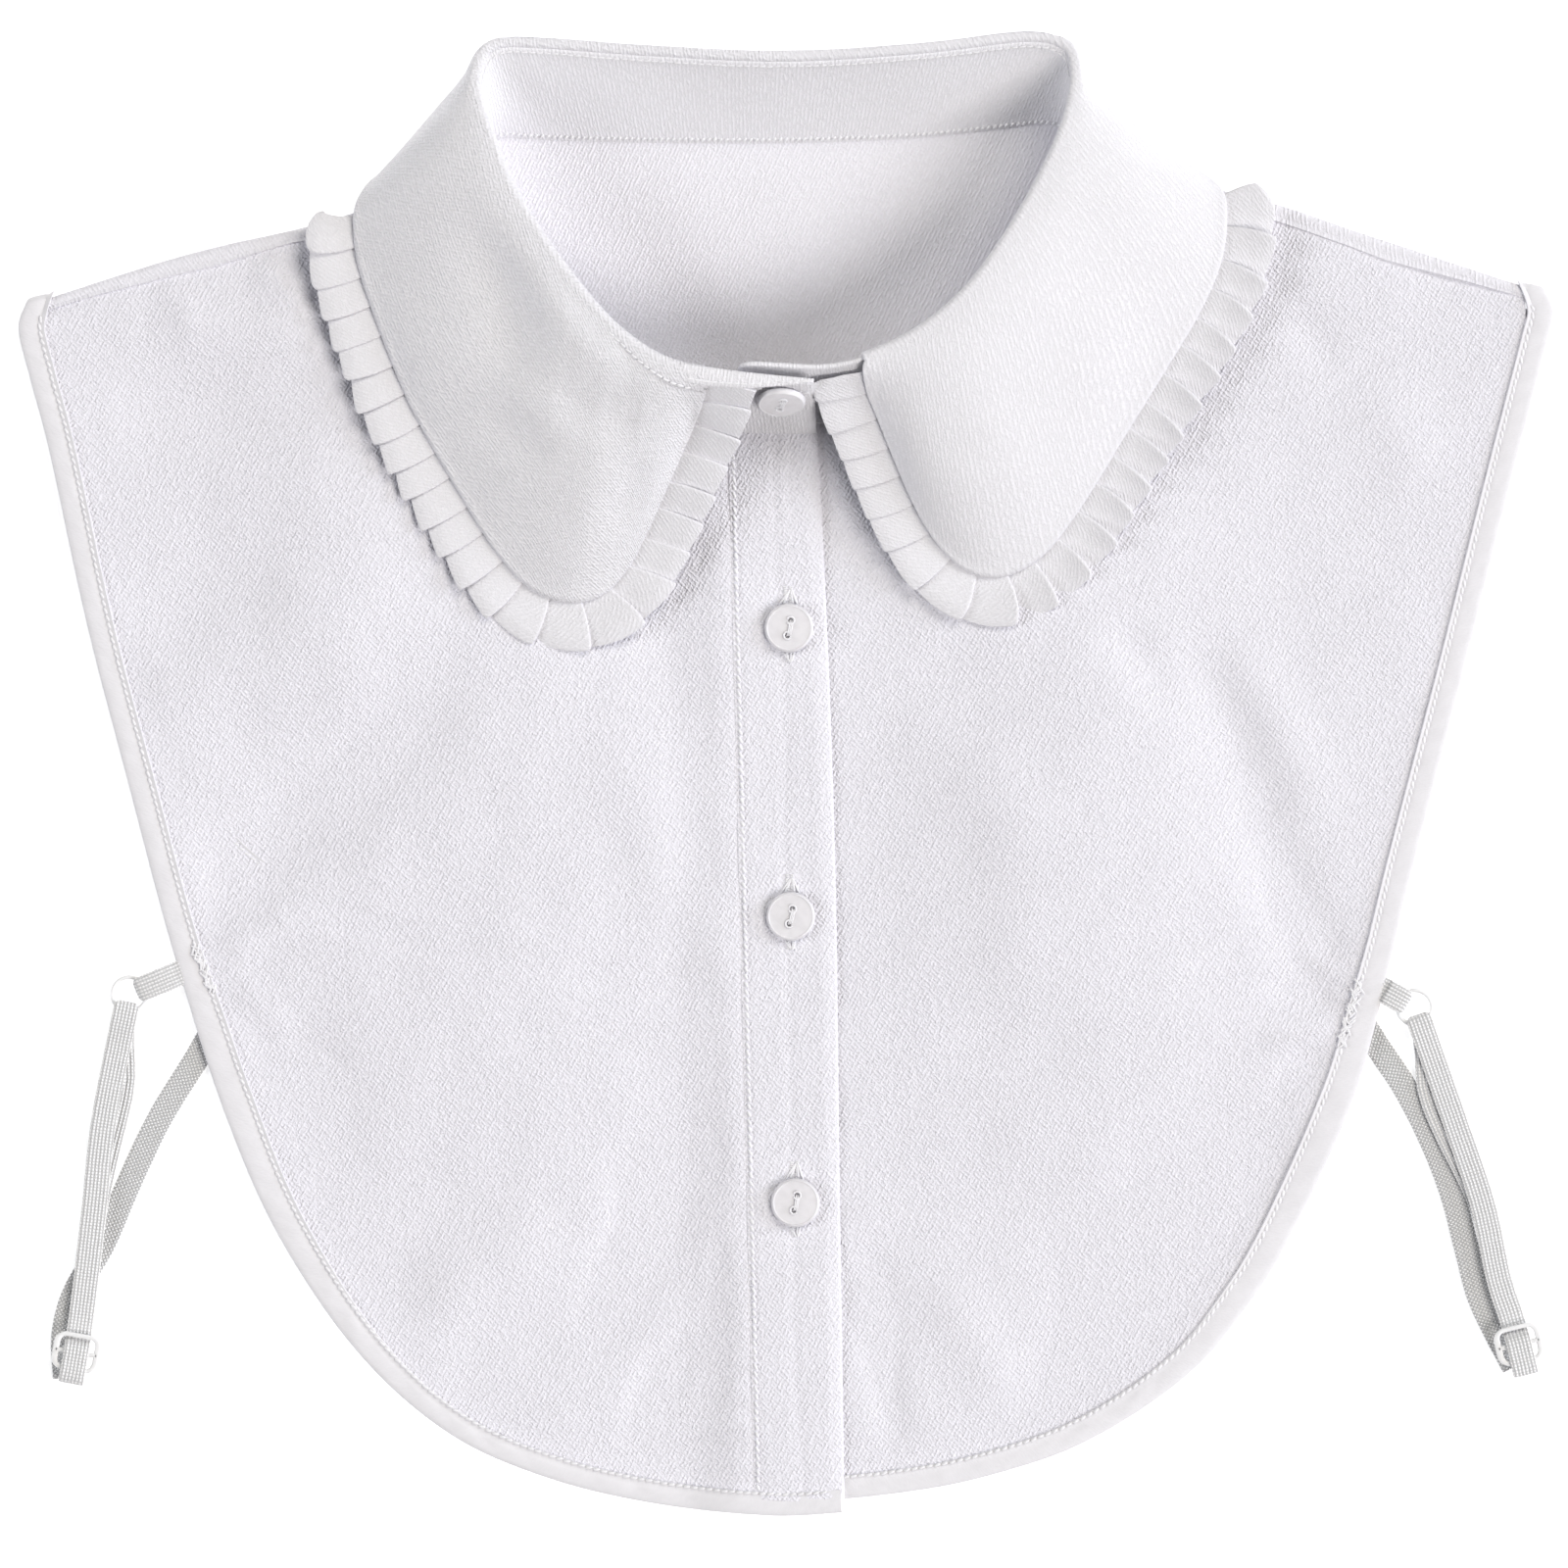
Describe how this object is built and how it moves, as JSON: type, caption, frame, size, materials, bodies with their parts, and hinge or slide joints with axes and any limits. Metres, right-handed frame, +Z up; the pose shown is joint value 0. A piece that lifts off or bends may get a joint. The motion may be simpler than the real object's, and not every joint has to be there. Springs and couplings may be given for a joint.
{
  "type": "detachable peter pan collar",
  "caption": "Sleeveless buttoned bib with a stand collar, turned-over rounded leaves edged by a pleated frill, and adjustable elastic side straps, laid flat.",
  "frame": {"origin": "on the table, at the middle of the laid-out garment's footprint", "axes": "+X to the right as one looks down on the front, +Y towards the back of the neck, +Z up from the table"},
  "size_m": [0.3586, 0.3477, 0.0291],
  "materials": {
    "crepe": "white polyester crepe with a fine matt grain",
    "collar_cloth": "the same white crepe, interfaced and pressed",
    "binding": "smooth white bias binding with a faint sheen",
    "button": "milky white polyester button, softly polished",
    "elastic": "white knitted elastic with lengthwise ribs",
    "ring": "white nylon-coated ring",
    "slider": "white nylon-coated slider"
  },
  "bodies": {
    "root": {"back_panel": "crepe", "left_front": "crepe", "right_front": "crepe", "placket": "crepe", "back_binding": "binding", "left_binding": "binding", "right_binding": "binding", "collar_stand": "collar_cloth", "collar_fall": "collar_cloth", "left_frill": "collar_cloth", "back_frill": "collar_cloth", "right_frill": "collar_cloth", "placket_button_1": "button", "placket_button_2": "button", "placket_button_3": "button", "band_button": "button", "left_strap_back_run": "elastic", "left_strap_front_run": "elastic", "left_strap_return_run": "elastic", "left_strap_stub": "elastic", "left_ring": "ring", "left_slider": "slider", "right_strap_back_run": "elastic", "right_strap_front_run": "elastic", "right_strap_return_run": "elastic", "right_strap_stub": "elastic", "right_ring": "ring", "right_slider": "slider"}
  },
  "joints": []
}
